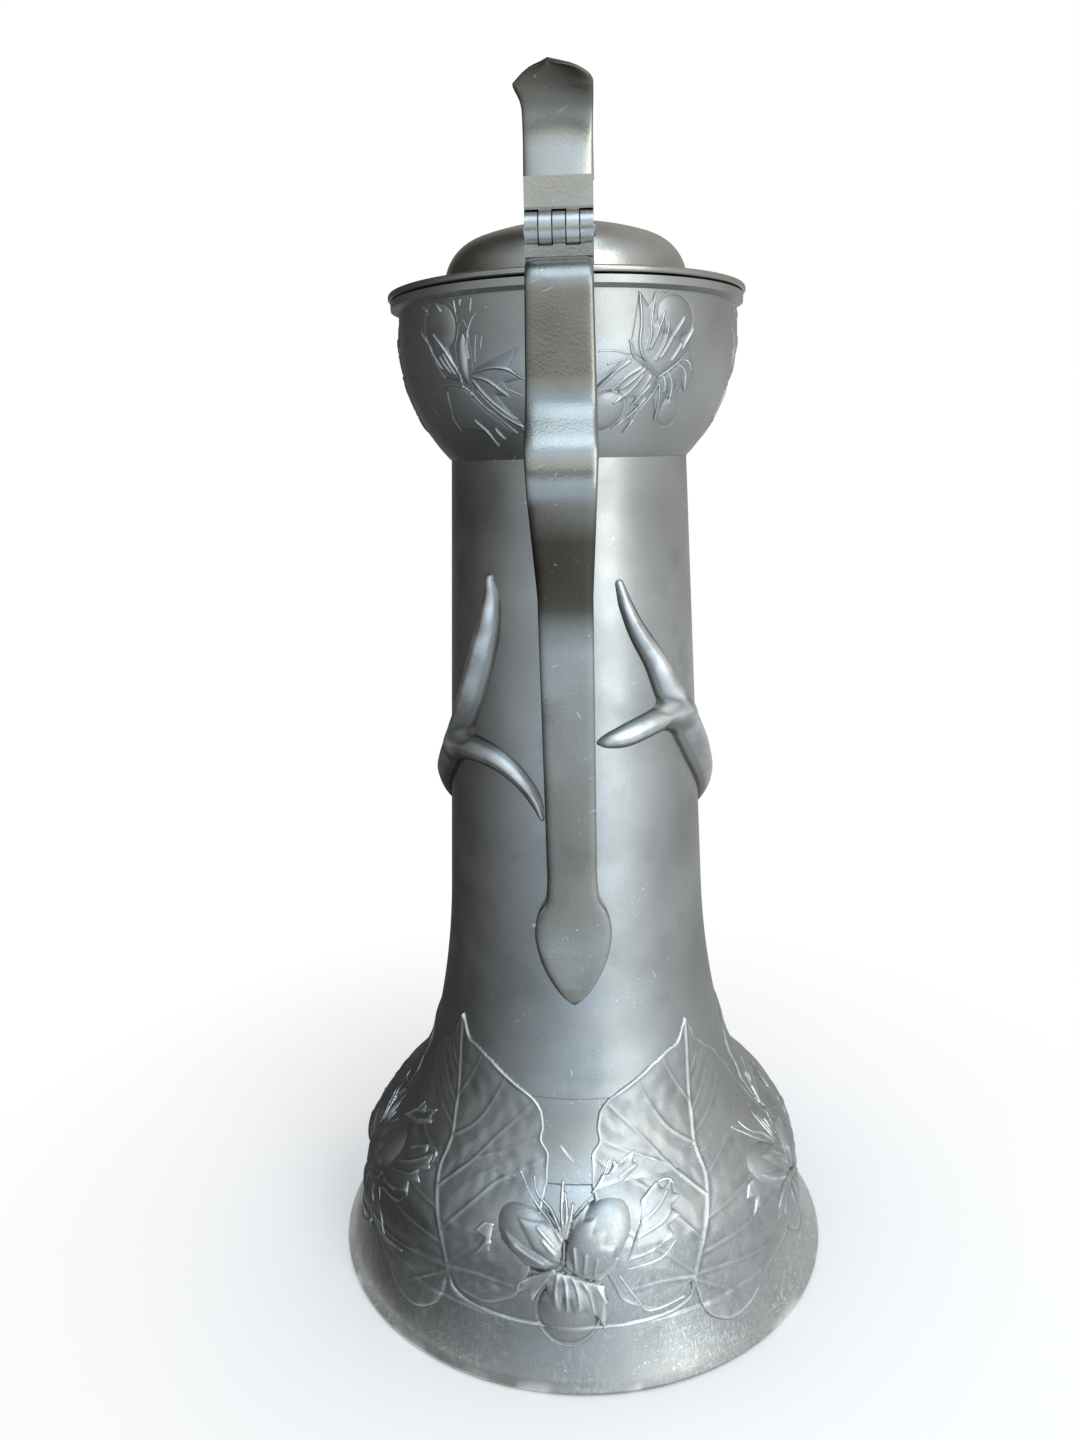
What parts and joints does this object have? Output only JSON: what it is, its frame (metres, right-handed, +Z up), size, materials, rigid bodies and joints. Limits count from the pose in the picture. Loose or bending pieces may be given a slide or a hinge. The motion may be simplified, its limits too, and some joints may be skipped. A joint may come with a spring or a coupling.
{
  "type": "lidded pitcher",
  "caption": "Tall lidded pewter pitcher with a bell foot, tapered neck, strap handle, hinged domed lid with thumbpiece, and antlers on the neck.",
  "frame": {"origin": "on the floor under the middle of the foot", "axes": "+Z up; the pouring side faces -Y and the handle +Y; the lid turns about a line along X"},
  "size_m": [0.1608, 0.1608, 0.3421],
  "materials": {
    "body_pewter": "cast pewter, softly polished, worn and scratched",
    "lid_pewter": "cast pewter, softly polished",
    "handle_pewter": "cast pewter, darker from handling",
    "ornament_pewter": "cast pewter, bright on its ridges",
    "pin_metal": "dull drawn metal"
  },
  "bodies": {
    "jug": {"bell_foot": "body_pewter", "bottom_disc": "body_pewter", "neck": "body_pewter", "collar": "body_pewter", "pouring_lip": "body_pewter", "handle": "handle_pewter", "hinge_block": "handle_pewter", "hinge_pin": "pin_metal", "antler_left": "ornament_pewter", "antler_right": "ornament_pewter"},
    "lid": {"lid": "lid_pewter", "lid_hinge_leaf": "lid_pewter", "thumbpiece": "lid_pewter"}
  },
  "joints": [
    {"name": "lid_hinge", "type": "hinge", "parent": "jug", "child": "lid", "pos_m": [0, 0.0546, 0.3068], "axis": [-1, 0, 0], "range_deg": [0, 95]}
  ]
}
